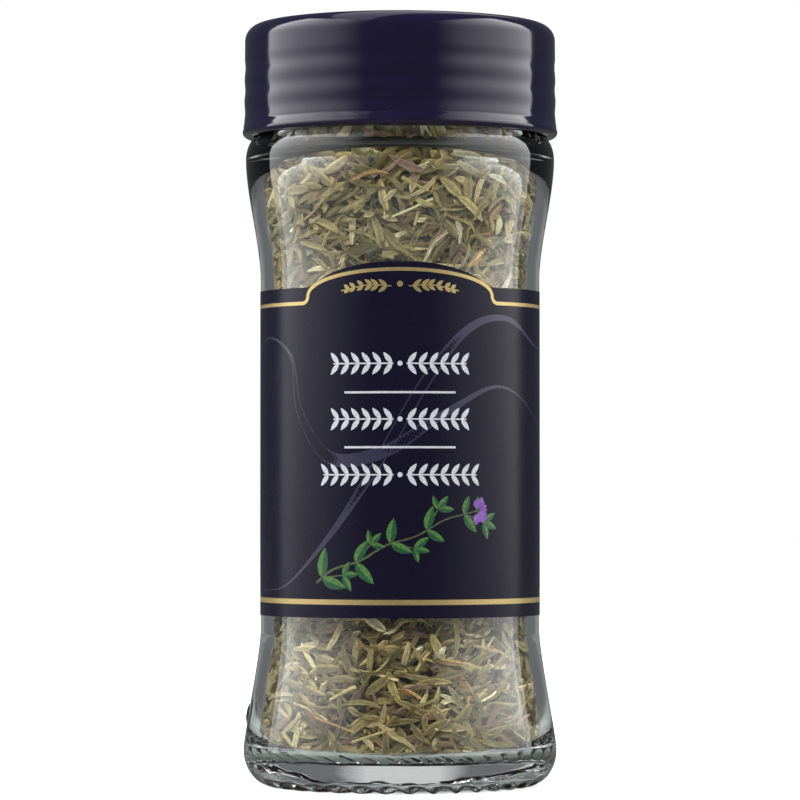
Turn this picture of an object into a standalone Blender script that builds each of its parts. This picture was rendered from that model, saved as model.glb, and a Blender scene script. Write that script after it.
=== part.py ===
"""Closed glass spice jar of dried thyme: glass, screw cap, liner, sifter, wrap label and herb.

Metres, +Z up, origin at the centre of the base. The label's front faces -Y.
"""

import math
import random

import bmesh
import bpy
from mathutils import Euler, Matrix, Vector

MM = 0.001
GAP = 0.3 * MM
SEGMENTS = 48

# The jar's outer heights and radii.
TOTAL_HEIGHT = 108.5 * MM
BASE_INNER_RADIUS = 16.9 * MM
BASE_OUTER_RADIUS = 18.0 * MM
BASE_PUSH_UP = 1.7 * MM
HEEL_RADIUS = 22.3 * MM
HEEL_HEIGHT = 5.0 * MM
PANEL_RADIUS = 19.6 * MM
PANEL_BOTTOM = 22.5 * MM
PANEL_TOP = 74.5 * MM
SHOULDER_RADIUS = 22.0 * MM
SHOULDER_HEIGHT = 88.6 * MM
NECK_RADIUS = 19.5 * MM
NECK_HEIGHT = 92.9 * MM
RIM_HEIGHT = 104.4 * MM

# The glass wall.
WALL = 2.5 * MM
FLOOR = 4.2 * MM
BORE_RADIUS = 16.8 * MM

# The screw thread, cut on the neck and met by the cap.
PITCH = 4.2 * MM
TURNS = 1.25
THREAD_START = 97.0 * MM
RIDGE_ROOT_WIDTH = 1.5 * MM
RIDGE_CREST_WIDTH = 0.7 * MM
GLASS_CREST_RADIUS = 20.45 * MM
CAP_CREST_RADIUS = 19.95 * MM
STEPS_PER_TURN = 40
THREAD_START_ANGLE = math.radians(2.6)

# The cap.
CAP_LIP_RADIUS = 22.5 * MM
CAP_TOP_RADIUS = 22.2 * MM
CAP_CORNER = 2.2 * MM
CAP_BOTTOM = 92.4 * MM
CAP_BORE_RADIUS = 20.95 * MM
CAP_ROOF = 107.1 * MM
RING_HEIGHTS = (95.8 * MM, 99.0 * MM, 102.2 * MM)
RING_DEPTH = 0.2 * MM
RING_WIDTH = 2.0 * MM

# The liner and the sifter.
LINER_RADIUS = 20.4 * MM
LINER_THICKNESS = 0.9 * MM
FLANGE_RADIUS = 18.9 * MM
FLANGE_THICKNESS = 0.9 * MM
SKIRT_HEIGHT = 4.6 * MM
SKIRT_WALL = 1.0 * MM
HOLE_RADIUS = 1.9 * MM
HOLE_RING_RADIUS = 8.5 * MM
HOLES_IN_RING = 6

# The label.
LABEL_THICKNESS = 0.1 * MM
LABEL_BOTTOM = 24.35 * MM
LABEL_TOP = 70.3 * MM
HUMP_HEIGHT = 3.5 * MM
HUMP_HALF_WIDTH = 14.6 * MM
LABEL_COLUMNS = 96

# The herb.
FILL_TOP = 97.2 * MM
LEAF_LENGTH = 5.0 * MM
LEAF_WIDTH = 1.4 * MM
LEAF_THICKNESS = 0.7 * MM
LEAF_LAYERS = 3
LEAF_LAYER_STEP = 1.5 * MM
LEAF_SPACING = 6.0 * MM
LEAVES = 30
STALKS = 6


def remove_old_objects():
    for old in list(bpy.data.objects):
        bpy.data.objects.remove(old, do_unlink=True)


def material(name, colour, roughness, metallic=0.0, alpha=1.0):
    made = bpy.data.materials.new(name)
    made.use_nodes = True
    shader = made.node_tree.nodes["Principled BSDF"]
    shader.inputs["Base Color"].default_value = (*colour, 1.0)
    shader.inputs["Roughness"].default_value = roughness
    shader.inputs["Metallic"].default_value = metallic
    shader.inputs["Alpha"].default_value = alpha
    made.diffuse_color = (*colour, alpha)
    return made


def add_object(name, bm, finish):
    """Turns a bmesh into a named object with outward faces and smooth round sides."""
    bmesh.ops.recalc_face_normals(bm, faces=bm.faces)
    mesh = bpy.data.meshes.new(name)
    bm.to_mesh(mesh)
    bm.free()
    mesh.shade_smooth()
    mesh.set_sharp_from_angle(angle=math.radians(30))
    mesh.materials.append(finish)
    made = bpy.data.objects.new(name, mesh)
    bpy.context.scene.collection.objects.link(made)
    return made


def arc(centre, radii, start, end, steps):
    """Points (radius, height) along an ellipse's arc, angles in degrees from the +radius direction."""
    points = []
    for step in range(steps + 1):
        angle = math.radians(start + (end - start) * step / steps)
        points.append((centre[0] + radii[0] * math.cos(angle), centre[1] + radii[1] * math.sin(angle)))
    return points


def upright_curve(low, high, low_handle, high_handle, steps):
    """A Bezier curve that leaves low and meets high straight up, as (radius, height) points."""
    ends = [Vector(low), Vector((low[0], low[1] + low_handle))]
    ends += [Vector((high[0], high[1] - high_handle)), Vector(high)]
    points = []
    for step in range(steps + 1):
        t = step / steps
        weights = ((1 - t) ** 3, 3 * (1 - t) ** 2 * t, 3 * (1 - t) * t**2, t**3)
        points.append(tuple(sum((w * p for w, p in zip(weights, ends)), Vector((0.0, 0.0)))))
    return points


def turned(outline, segments=SEGMENTS, closed=False):
    """A bmesh turned about Z from (radius, height) points. An open outline starts and ends on the axis."""
    bm = bmesh.new()
    verts = [bm.verts.new((radius, 0.0, height)) for radius, height in outline]
    edges = [bm.edges.new(pair) for pair in zip(verts, verts[1:])]
    if closed:
        edges.append(bm.edges.new((verts[-1], verts[0])))
    bmesh.ops.spin(
        bm,
        geom=verts + edges,
        cent=(0.0, 0.0, 0.0),
        axis=(0.0, 0.0, 1.0),
        angle=2 * math.pi,
        steps=segments,
        use_merge=True,
    )
    bmesh.ops.remove_doubles(bm, verts=bm.verts, dist=0.001 * MM)
    return bm


def boolean(made, cutter, operation):
    """Adds a Boolean to an object and hides its cutter."""
    modifier = made.modifiers.new(cutter.name, "BOOLEAN")
    modifier.operation = operation
    modifier.solver = "EXACT"
    modifier.object = cutter
    cutter.hide_render = True
    cutter.display_type = "WIRE"


def helical_ridge(name, root_radius, crest_radius, start_height, finish):
    """A thread's ridge: a tapered section carried up a right-hand helix, run out to nothing at both ends."""
    steps = round(TURNS * STEPS_PER_TURN)
    run_out = STEPS_PER_TURN / 10
    foot_radius = root_radius + math.copysign(0.5 * MM, root_radius - crest_radius)

    def section(step):
        height = min(1.0, 0.15 + min(step, steps - step) / run_out)
        crest = root_radius + (crest_radius - root_radius) * height
        half_crest = RIDGE_CREST_WIDTH / 2
        half_root = RIDGE_ROOT_WIDTH / 2
        profile = ((foot_radius, -half_root), (foot_radius, half_root), (crest, half_crest), (crest, -half_crest))
        place = Matrix.Rotation(THREAD_START_ANGLE + 2 * math.pi * step / STEPS_PER_TURN, 4, "Z")
        rise = start_height + PITCH * step / STEPS_PER_TURN
        return [place @ Vector((radius, 0.0, rise + offset)) for radius, offset in profile]

    bm = bmesh.new()
    ring = [bm.verts.new(point) for point in section(0)]
    bm.faces.new(ring)
    for step in range(1, steps + 1):
        new_ring = [bm.verts.new(point) for point in section(step)]
        for side in range(4):
            bm.faces.new((ring[side], ring[side - 1], new_ring[side - 1], new_ring[side]))
        ring = new_ring
    bm.faces.new(ring)
    return add_object(name, bm, finish)


def glass_inner_outline(inset=0.0):
    """The glass's inner wall from the floor's centre up to the bore, drawn in by the inset."""
    panel = PANEL_RADIUS - WALL - inset
    heel = HEEL_RADIUS - WALL - inset
    shoulder = SHOULDER_RADIUS - WALL - inset
    corner = 2.6 * MM
    floor = FLOOR + inset
    outline = [(0.0, floor)]
    outline += arc((heel - corner, floor + corner), (corner, corner), -90, 0, 3)
    outline += upright_curve((heel, floor + corner + 0.5 * MM), (panel, PANEL_BOTTOM), 3 * MM, 4 * MM, 5)
    outline += upright_curve((panel, PANEL_TOP - 2 * MM), (shoulder, SHOULDER_HEIGHT - 1.5 * MM), 4 * MM, 4 * MM, 5)
    return outline


def make_glass_jar(finish):
    outline = [(0.0, BASE_PUSH_UP), (9.0 * MM, 0.85 * BASE_PUSH_UP), (14.0 * MM, 0.5 * BASE_PUSH_UP)]
    outline += [(BASE_INNER_RADIUS, 0.0), (BASE_OUTER_RADIUS, 0.0)]
    heel = HEEL_RADIUS - BASE_OUTER_RADIUS
    outline += arc((BASE_OUTER_RADIUS, HEEL_HEIGHT), (heel, HEEL_HEIGHT), -90, 0, 5)[1:]
    outline += upright_curve((HEEL_RADIUS, HEEL_HEIGHT), (PANEL_RADIUS, PANEL_BOTTOM), 2 * MM, 3 * MM, 6)[1:]
    outline += upright_curve((PANEL_RADIUS, PANEL_TOP), (SHOULDER_RADIUS, SHOULDER_HEIGHT), 5 * MM, 5 * MM, 6)
    neck_step = SHOULDER_RADIUS - NECK_RADIUS
    shoulder_rise = NECK_HEIGHT - SHOULDER_HEIGHT
    outline += arc((NECK_RADIUS, SHOULDER_HEIGHT), (neck_step, shoulder_rise), 18, 82, 4)
    outline += [(NECK_RADIUS, NECK_HEIGHT + 0.3 * MM)]
    rim_round = 0.6 * MM
    outline += arc((NECK_RADIUS - rim_round, RIM_HEIGHT - rim_round), (rim_round, rim_round), 0, 90, 2)
    outline += arc((BORE_RADIUS + rim_round, RIM_HEIGHT - rim_round), (rim_round, rim_round), 90, 180, 2)
    outline += [(BORE_RADIUS, NECK_HEIGHT)]
    outline += reversed(glass_inner_outline())
    jar = add_object("glass_jar", turned(outline), finish)

    thread = helical_ridge("neck_thread_tool", NECK_RADIUS, GLASS_CREST_RADIUS, THREAD_START, finish)
    boolean(jar, thread, "UNION")

    lug_bm = bmesh.new()
    lug_size = Matrix.Diagonal((1.1 * MM, 0.95 * MM, 0.9 * MM, 1.0))
    lug_turn = Matrix.Rotation(math.radians(178), 4, "Z")
    lug_place = lug_turn @ Matrix.Translation((21.25 * MM, 0.0, 10.3 * MM))
    bmesh.ops.create_uvsphere(lug_bm, u_segments=12, v_segments=8, radius=1.0, matrix=lug_place @ lug_size)
    boolean(jar, add_object("index_lug_tool", lug_bm, finish), "UNION")
    return jar


def cap_wall_radius(height):
    """The cap's outer radius, which narrows a little to the top and dips softly at each ring."""
    along = (height - CAP_BOTTOM) / (TOTAL_HEIGHT - CAP_BOTTOM)
    radius = CAP_LIP_RADIUS + (CAP_TOP_RADIUS - CAP_LIP_RADIUS) * along
    for ring in RING_HEIGHTS:
        offset = abs(height - ring) / (RING_WIDTH / 2)
        if offset < 1:
            radius -= RING_DEPTH * 0.5 * (1 + math.cos(math.pi * offset))
    return radius


def make_screw_cap(finish):
    lip_round = 0.6 * MM
    outline = [(CAP_BORE_RADIUS, CAP_BOTTOM)]
    outline += arc((CAP_LIP_RADIUS - lip_round, CAP_BOTTOM + lip_round), (lip_round, lip_round), -90, 0, 2)
    for ring in RING_HEIGHTS:
        for offset in (-RING_WIDTH / 2, 0.0, RING_WIDTH / 2):
            outline.append((cap_wall_radius(ring + offset), ring + offset))
    corner_centre = (CAP_TOP_RADIUS - CAP_CORNER, TOTAL_HEIGHT - CAP_CORNER)
    outline += arc(corner_centre, (CAP_CORNER, CAP_CORNER), 0, 90, 4)
    outline.append((0.0, TOTAL_HEIGHT))
    roof_corner = 0.5 * MM
    outline.append((0.0, CAP_ROOF))
    outline += arc((CAP_BORE_RADIUS - roof_corner, CAP_ROOF - roof_corner), (roof_corner, roof_corner), 90, 0, 1)
    cap = add_object("screw_cap", turned(outline, closed=True), finish)

    # The cap's ridge bears on the underside of the glass ridge.
    cap_thread_start = THREAD_START - RIDGE_ROOT_WIDTH - GAP
    thread = helical_ridge("cap_thread_tool", CAP_BORE_RADIUS, CAP_CREST_RADIUS, cap_thread_start, finish)
    boolean(cap, thread, "UNION")
    return cap


def make_shaker_insert(finish):
    """A sifter: a flange that lies on the rim, a plug skirt in the bore, and a ring of round holes."""
    under = RIM_HEIGHT + GAP
    top = under + FLANGE_THICKNESS
    skirt_radius = BORE_RADIUS - GAP
    outline = [(0.0, under), (skirt_radius - SKIRT_WALL, under)]
    outline += [(skirt_radius - SKIRT_WALL, under - SKIRT_HEIGHT)]
    outline += [(skirt_radius - 0.3 * MM, under - SKIRT_HEIGHT), (skirt_radius, under - SKIRT_HEIGHT + 0.6 * MM)]
    outline += [(skirt_radius, under), (FLANGE_RADIUS, under), (FLANGE_RADIUS, top), (0.0, top)]
    insert = add_object("shaker_insert", turned(outline), finish)

    drills = bmesh.new()
    places = [(0.0, 0.0)]
    for hole in range(HOLES_IN_RING):
        angle = 2 * math.pi * hole / HOLES_IN_RING
        places.append((HOLE_RING_RADIUS * math.cos(angle), HOLE_RING_RADIUS * math.sin(angle)))
    for x, y in places:
        bmesh.ops.create_cone(
            drills,
            cap_ends=True,
            segments=16,
            radius1=HOLE_RADIUS,
            radius2=HOLE_RADIUS,
            depth=4 * FLANGE_THICKNESS,
            matrix=Matrix.Translation((x, y, under + FLANGE_THICKNESS / 2)),
        )
    boolean(insert, add_object("hole_drills_tool", drills, finish), "DIFFERENCE")
    return insert


def make_cap_liner(finish):
    top = CAP_ROOF - GAP
    bottom = top - LINER_THICKNESS
    outline = [(0.0, bottom), (LINER_RADIUS, bottom), (LINER_RADIUS, top), (0.0, top)]
    return add_object("cap_liner", turned(outline), finish)


def hump_rise(angle):
    """How far the label's top edge stands above its straight run, by angle from the front."""
    along = abs(angle) * (PANEL_RADIUS + GAP) / HUMP_HALF_WIDTH
    if along >= 1:
        return 0.0
    return HUMP_HEIGHT * (0.5 * (1 + math.cos(math.pi * along))) ** 0.55


def make_wrap_label(finish):
    """A thin film right round the waist, its top edge raised in a hump at the front."""
    inner = PANEL_RADIUS + GAP
    outline = [(inner, LABEL_BOTTOM), (inner + LABEL_THICKNESS, LABEL_BOTTOM)]
    outline += [(inner + LABEL_THICKNESS, LABEL_TOP), (inner, LABEL_TOP)]
    bm = turned(outline, LABEL_COLUMNS, closed=True)
    for vert in bm.verts:
        if vert.co.z > (LABEL_BOTTOM + LABEL_TOP) / 2:
            vert.co.z += hump_rise(math.atan2(vert.co.x, -vert.co.y))
    return add_object("wrap_label", bm, finish)


def make_thyme_fill(finish):
    """The packed herb, which fills the glass up into the neck and ends in a low mound."""
    outline = glass_inner_outline(GAP + 0.1 * MM)
    neck = BORE_RADIUS - GAP - 0.1 * MM
    outline += [(neck, NECK_HEIGHT - 0.4 * MM), (neck, FILL_TOP - 0.5 * MM), (0.0, FILL_TOP)]
    return add_object("thyme_fill", turned(outline, segments=36), finish)


def bent_leaf(length, width, thickness, bend):
    """A small lens-shaped body along X, bent up at both ends."""
    bm = bmesh.new()
    size = Matrix.Diagonal((thickness / 2, width / 2, length / 2, 1.0))
    lie_down = Matrix.Rotation(math.radians(90), 4, "Y")
    bmesh.ops.create_uvsphere(bm, u_segments=6, v_segments=5, radius=1.0, matrix=lie_down @ size)
    for vert in bm.verts:
        vert.co.z += bend * (2 * vert.co.x / length) ** 2
    return bm


def loose_places(chooser):
    """Places for the loose leaves: a staggered grid in each layer, kept inside the sifter's skirt."""
    places = []
    reach = BORE_RADIUS - GAP - SKIRT_WALL - GAP - 0.55 * LEAF_LENGTH
    cells = math.ceil(reach / LEAF_SPACING)
    for layer in range(LEAF_LAYERS):
        height = FILL_TOP + GAP + LEAF_THICKNESS + layer * LEAF_LAYER_STEP
        for row in range(-cells, cells + 1):
            for column in range(-cells, cells + 1):
                x = (column + 0.5 * (row % 2) + 0.25 * layer) * LEAF_SPACING
                y = (row + 0.3 * layer) * LEAF_SPACING * 0.87
                if math.hypot(x, y) < reach:
                    places.append((x, y, height))
    chooser.shuffle(places)
    return places


def make_loose_herb(leaf_finish, stalk_finish):
    """Loose leaves and bits of stalk on top of the packed herb, each its own piece."""
    chooser = random.Random(8)
    places = loose_places(chooser)
    for number in range(LEAVES + STALKS):
        is_leaf = number < LEAVES
        if is_leaf:
            name = f"thyme_leaf_{number + 1:02d}"
            length = LEAF_LENGTH * chooser.uniform(0.75, 1.0)
            bm = bent_leaf(length, LEAF_WIDTH, LEAF_THICKNESS, 0.3 * MM * chooser.uniform(-1, 1))
        else:
            name = f"thyme_stalk_{number - LEAVES + 1:02d}"
            bm = bmesh.new()
            bmesh.ops.create_cone(
                bm,
                cap_ends=True,
                segments=8,
                radius1=0.35 * MM,
                radius2=0.3 * MM,
                depth=LEAF_LENGTH * chooser.uniform(0.85, 1.05),
                matrix=Matrix.Rotation(math.radians(90), 4, "Y"),
            )
        piece = add_object(name, bm, leaf_finish if is_leaf else stalk_finish)
        piece.location = places[number]
        piece.rotation_euler = Euler((chooser.uniform(-0.3, 0.3), 0.0, chooser.uniform(0, math.pi)))


def main():
    remove_old_objects()
    glass = material("flint_glass", (0.80, 0.86, 0.84), 0.03, alpha=0.35)
    cap_plastic = material("purple_polypropylene", (0.020, 0.012, 0.060), 0.25)
    liner_foam = material("white_polyethylene_foam", (0.80, 0.80, 0.78), 0.70)
    insert_plastic = material("natural_polypropylene", (0.72, 0.72, 0.70), 0.40)
    label_film = material("printed_polypropylene_film", (0.018, 0.016, 0.040), 0.45)
    herb = material("dried_thyme", (0.24, 0.21, 0.11), 0.85)
    stalk = material("dried_thyme_stalk", (0.40, 0.26, 0.14), 0.85)

    make_glass_jar(glass)
    make_screw_cap(cap_plastic)
    make_cap_liner(liner_foam)
    make_shaker_insert(insert_plastic)
    make_wrap_label(label_film)
    make_thyme_fill(herb)
    make_loose_herb(herb, stalk)


main()
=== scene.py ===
"""Looks of a glass spice jar of dried thyme.

A glass jar with a knurled foot and a low index lug, a glossy screw cap with its liner and sifter, a printed
film label round the waist, and the loose dried herb inside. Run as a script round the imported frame.
"""

import bisect
import math
import random

import bmesh
import bpy
from mathutils import Euler, Matrix, Vector, noise


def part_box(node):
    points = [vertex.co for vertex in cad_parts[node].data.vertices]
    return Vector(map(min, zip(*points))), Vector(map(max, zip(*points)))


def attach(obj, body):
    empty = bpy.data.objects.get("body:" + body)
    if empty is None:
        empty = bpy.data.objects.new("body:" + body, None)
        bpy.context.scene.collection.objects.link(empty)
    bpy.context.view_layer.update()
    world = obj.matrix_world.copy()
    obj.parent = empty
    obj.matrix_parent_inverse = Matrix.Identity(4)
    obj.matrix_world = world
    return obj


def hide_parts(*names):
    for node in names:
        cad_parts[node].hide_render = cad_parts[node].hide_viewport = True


bl_info = {
    "name": "Spice Jar of Dried Thyme",
    "version": (1, 0, 0),
    "blender": (4, 5, 0),
    "location": "3D View > Sidebar > Spice Jar",
    "description": "Builds the finished surfaces of a glass jar of dried thyme, its cap, label and studio",
    "category": "Object",
}

MM = 0.001

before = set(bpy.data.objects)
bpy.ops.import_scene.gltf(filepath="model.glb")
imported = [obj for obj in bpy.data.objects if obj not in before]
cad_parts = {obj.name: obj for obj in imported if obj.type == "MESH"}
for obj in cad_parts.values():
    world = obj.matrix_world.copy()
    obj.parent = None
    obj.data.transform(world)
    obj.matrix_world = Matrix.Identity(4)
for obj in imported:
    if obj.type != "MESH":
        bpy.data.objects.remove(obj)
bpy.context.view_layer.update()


def node_box(name):
    """A frame node's lowest and highest corners, in millimetres."""
    low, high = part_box(name)
    return low / MM, high / MM


JAR_LOW, JAR_HIGH = node_box("glass_jar")
CAP_LOW, CAP_HIGH = node_box("screw_cap")
LINER_LOW, LINER_HIGH = node_box("cap_liner")
SIFTER_LOW, SIFTER_HIGH = node_box("shaker_insert")
LABEL_LOW, LABEL_HIGH = node_box("wrap_label")
FILL_LOW, FILL_HIGH = node_box("thyme_fill")
LOOSE_NODES = sorted(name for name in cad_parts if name.startswith(("thyme_leaf", "thyme_stalk")))

# Heights and radii below are in millimetres, on from the frame's own.
RIM_HEIGHT = JAR_HIGH.z
HEEL_RADIUS = CAP_HIGH.x - 0.14
HEEL_HEIGHT = 5.0
FOOT_INNER = 16.9
FOOT_OUTER = 18.0
PUSH_UP = 1.7
PANEL_RADIUS = LABEL_HIGH.x - 0.1
SHOULDER_RADIUS = 22.03
SHOULDER_HEIGHT = 88.6
NECK_RADIUS = 19.5
NECK_HEIGHT = 92.9
BORE_RADIUS = 16.8
FLOOR_HEIGHT = FILL_LOW.z - 0.4
PITCH = 4.2
TURNS = 1.25
NECK_THREAD_START = 97.0
CAP_THREAD_START = NECK_THREAD_START - 1.8
LABEL_RADIUS = LABEL_HIGH.x - 0.04
OVERLAP_RISE = 0.02
OVERLAP_WIDTH = 5.0
SEGMENTS = 384
WEDGES = 16
PANEL_WALL_SHARE = 0.8


class SPICEJAR_PG_glass(bpy.types.PropertyGroup):
    wall: bpy.props.FloatProperty(
        name="Wall", description="Thickness of the glass, in mm", default=2.2, min=1.5, max=4.0
    )
    knurls: bpy.props.IntProperty(
        name="Foot knurls", description="Slanted ridges round the bearing ring", default=34, min=12, max=60
    )
    knurl_depth: bpy.props.FloatProperty(
        name="Knurl depth", description="Depth of the foot's knurls, in mm", default=1.2, min=0.0, max=1.5
    )
    lug_height: bpy.props.FloatProperty(
        name="Index lug height", description="Centre of the low side lug, in mm", default=10.3, min=6.0, max=16.0
    )
    lug_rise: bpy.props.FloatProperty(
        name="Index lug rise", description="How far the lug stands out, in mm", default=0.32, min=0.0, max=0.9
    )


class SPICEJAR_PG_cap(bpy.types.PropertyGroup):
    colour: bpy.props.StringProperty(
        name="Colour", description="sRGB colour of the moulded plastic", default="#18132E"
    )
    ring_depth: bpy.props.FloatProperty(
        name="Ring depth", description="Depth of the three soft rings, in mm", default=0.1, min=0.0, max=0.5
    )


class SPICEJAR_PG_label(bpy.types.PropertyGroup):
    film: bpy.props.StringProperty(
        name="Film", description="sRGB colour of the printed film", default="#110E20"
    )
    gold: bpy.props.StringProperty(name="Gold", description="sRGB colour of the gold ink", default="#B59B63")
    hump_half_width: bpy.props.FloatProperty(
        name="Hump half width", description="Half width of the arch's ellipse, in mm", default=15.2, min=8, max=20
    )
    line_height: bpy.props.FloatProperty(
        name="Upper line", description="Height of the upper gold line, in mm", default=68.1, min=60, max=70
    )
    lower_line_height: bpy.props.FloatProperty(
        name="Lower line", description="Height of the lower gold line, in mm", default=26.55, min=25, max=35
    )


class SPICEJAR_PG_herb(bpy.types.PropertyGroup):
    leaf_length: bpy.props.FloatProperty(
        name="Leaf length", description="Length of a whole dried leaf, in mm", default=5.3, min=3.0, max=8.0
    )
    leaf_width: bpy.props.FloatProperty(
        name="Leaf width", description="Width of a dried leaf, in mm", default=1.38, min=0.6, max=2.5
    )
    seed: bpy.props.IntProperty(name="Seed", description="Seed of the herb's random lie", default=5, min=0)
    layers: bpy.props.IntProperty(
        name="Layers", description="Layers of leaves behind the bare glass", default=4, min=1, max=8
    )


class SPICEJAR_PG_studio(bpy.types.PropertyGroup):
    camera_distance: bpy.props.FloatProperty(
        name="Camera distance", description="Camera to jar axis", default=0.6, unit="LENGTH"
    )
    camera_height: bpy.props.FloatProperty(
        name="Camera height", description="Height of the lens", default=0.04196, unit="LENGTH"
    )
    camera_pitch: bpy.props.FloatProperty(
        name="Camera pitch", description="Upward tilt of the lens", default=math.radians(1.24), subtype="ANGLE"
    )
    lens: bpy.props.FloatProperty(name="Lens", description="Focal length, in mm", default=189.0)
    side_strength: bpy.props.FloatProperty(
        name="Side panels", description="Radiance of the two tall side panels", default=1.95, min=0.0
    )
    backdrop: bpy.props.FloatProperty(
        name="Backdrop", description="Radiance of the backdrop seen through the foot", default=0.48, min=0.0
    )
    # The floor's painted shade: its colour in the jar's reflections and through its glass.
    floor_mirrored_painted_shade: bpy.props.StringProperty(
        name="Floor mirrored", description="sRGB shade of the floor as the jar mirrors it", default="#4E4E4E"
    )
    floor_through_painted_shade: bpy.props.StringProperty(
        name="Floor through", description="sRGB shade of the floor seen through the glass", default="#7E8280"
    )
    floor_wash: bpy.props.FloatProperty(
        name="Floor wash", description="Strength of the even light on the floor", default=3.2, min=0.0
    )
    key_strength: bpy.props.FloatProperty(
        name="Key", description="Radiance of the high front panel", default=26.0, min=0.0
    )


GROUPS = {
    "spicejar_glass": SPICEJAR_PG_glass,
    "spicejar_cap": SPICEJAR_PG_cap,
    "spicejar_label": SPICEJAR_PG_label,
    "spicejar_herb": SPICEJAR_PG_herb,
    "spicejar_studio": SPICEJAR_PG_studio,
}


# --- Materials ---------------------------------------------------------------------------------------------


def colour(code):
    """An sRGB hex code as a linear colour with alpha."""
    parts = [int(code[at : at + 2], 16) / 255 for at in (1, 3, 5)]
    linear = [part / 12.92 if part <= 0.04045 else ((part + 0.055) / 1.055) ** 2.4 for part in parts]
    return (*linear, 1.0)


def add_node(material, kind, values=None, links=None, **settings):
    """Adds a node, sets its properties and its sockets' values, and links other nodes' outputs into it."""
    tree = material.node_tree
    node = tree.nodes.new(kind)
    for name, value in settings.items():
        setattr(node, name, value)
    for socket, value in (values or {}).items():
        node.inputs[socket].default_value = value
    for socket, source in (links or {}).items():
        tree.links.new(source, node.inputs[socket])
    return node


def new_material(name):
    material = bpy.data.materials.new(name)
    material.use_nodes = True
    material.node_tree.nodes.clear()
    return material


def finish_material(material, values, links=None):
    """Adds the shader and the output, and returns the shader."""
    shader = add_node(material, "ShaderNodeBsdfPrincipled", values, links)
    add_node(material, "ShaderNodeOutputMaterial", links={"Surface": shader.outputs[0]})
    return shader


def grain(material, size_mm, detail=3.0, roughness=0.5, stretch=(1, 1, 1), source="Object"):
    """Noise whose features are about size_mm across, in the object's own metres."""
    place = add_node(material, "ShaderNodeTexCoord")
    turn = add_node(
        material,
        "ShaderNodeMapping",
        {"Scale": tuple(axis / (size_mm * MM) for axis in stretch)},
        {"Vector": place.outputs[source]},
    )
    return add_node(
        material,
        "ShaderNodeTexNoise",
        {"Scale": 1.0, "Detail": detail, "Roughness": roughness},
        {"Vector": turn.outputs[0]},
    )


def relief(material, height, depth_mm, below=None):
    """A bump from a 0 to 1 height, depth_mm deep."""
    links = {"Height": height}
    if below is not None:
        links["Normal"] = below.outputs[0]
    return add_node(material, "ShaderNodeBump", {"Strength": 1.0, "Distance": depth_mm * MM}, links)


def mixed(material, factor, first, second):
    """A colour between two hex colours, by a 0 to 1 factor."""
    node = add_node(material, "ShaderNodeMix", data_type="RGBA")
    node.inputs["A"].default_value = colour(first)
    node.inputs["B"].default_value = colour(second)
    material.node_tree.links.new(factor, node.inputs["Factor"])
    return node.outputs["Result"]


def ranged(material, value, low, high, to_low=0.0, to_high=1.0):
    node = add_node(
        material,
        "ShaderNodeMapRange",
        {"From Min": low, "From Max": high, "To Min": to_low, "To Max": to_high},
        {"Value": value},
    )
    return node.outputs[0]


def flint_glass():
    """Soda-lime flint glass, pressed and blown: clear, with a faint green-grey depth and a slow mould ripple."""
    material = new_material("soda_lime_flint_glass")
    slow = grain(material, 11.0, detail=1.0)
    fine = grain(material, 2.2, detail=2.0)
    slow_bump = relief(material, slow.outputs["Fac"], 0.035)
    bump = relief(material, fine.outputs["Fac"], 0.003, below=slow_bump)
    shader = add_node(
        material,
        "ShaderNodeBsdfPrincipled",
        {
            "Base Color": colour("#F4F8F6"),
            "Roughness": 0.0,
            "IOR": 1.52,
            "Transmission Weight": 1.0,
        },
        {"Normal": bump.outputs[0]},
    )
    # Lamps shine straight through the wall, as they do through a real one, so the herb inside is lit.
    lamp_way = add_node(material, "ShaderNodeBsdfTransparent", {"Color": colour("#F2F6F4")})
    path = add_node(material, "ShaderNodeLightPath")
    both = add_node(
        material,
        "ShaderNodeMixShader",
        links={0: path.outputs["Is Shadow Ray"], 1: shader.outputs[0], 2: lamp_way.outputs[0]},
    )
    add_node(material, "ShaderNodeOutputMaterial", links={"Surface": both.outputs[0]})
    return material


def cap_plastic(code):
    """Injection-moulded polypropylene, polished mould: deep even colour, clear gloss, a faint orange peel."""
    material = new_material("moulded_polypropylene_purple")
    cloud = grain(material, 9.0, detail=2.0)
    peel = grain(material, 0.9, detail=2.0)
    base = mixed(material, ranged(material, cloud.outputs["Fac"], 0.3, 0.7), code, "#151028")
    rough = ranged(material, cloud.outputs["Fac"], 0.35, 0.65, 0.085, 0.12)
    waves = relief(material, cloud.outputs["Fac"], 0.03)
    bump = relief(material, peel.outputs["Fac"], 0.0012, below=waves)
    links = {"Base Color": base, "Roughness": rough, "Normal": bump.outputs[0]}
    finish_material(material, {"IOR": 1.49}, links)
    return material


def liner_foam():
    """Closed-cell polyethylene foam, sliced: matt, off white, with pin-prick cells."""
    material = new_material("closed_cell_foam")
    cells = grain(material, 0.35, detail=2.0)
    base = mixed(material, cells.outputs["Fac"], "#D9D8D2", "#F2F1EC")
    bump = relief(material, cells.outputs["Fac"], 0.03)
    finish_material(material, {"Roughness": 0.8}, {"Base Color": base, "Normal": bump.outputs[0]})
    return material


def sifter_plastic():
    """Natural polypropylene, moulded and uncoloured: milky, half clear, satin."""
    material = new_material("natural_polypropylene")
    cloud = grain(material, 3.0)
    base = mixed(material, cloud.outputs["Fac"], "#D4D4CF", "#E4E4E0")
    bump = relief(material, cloud.outputs["Fac"], 0.01)
    values = {"Roughness": 0.35, "Subsurface Weight": 0.25, "Subsurface Scale": 0.8 * MM}
    finish_material(material, values, {"Base Color": base, "Normal": bump.outputs[0]})
    return material


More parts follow.
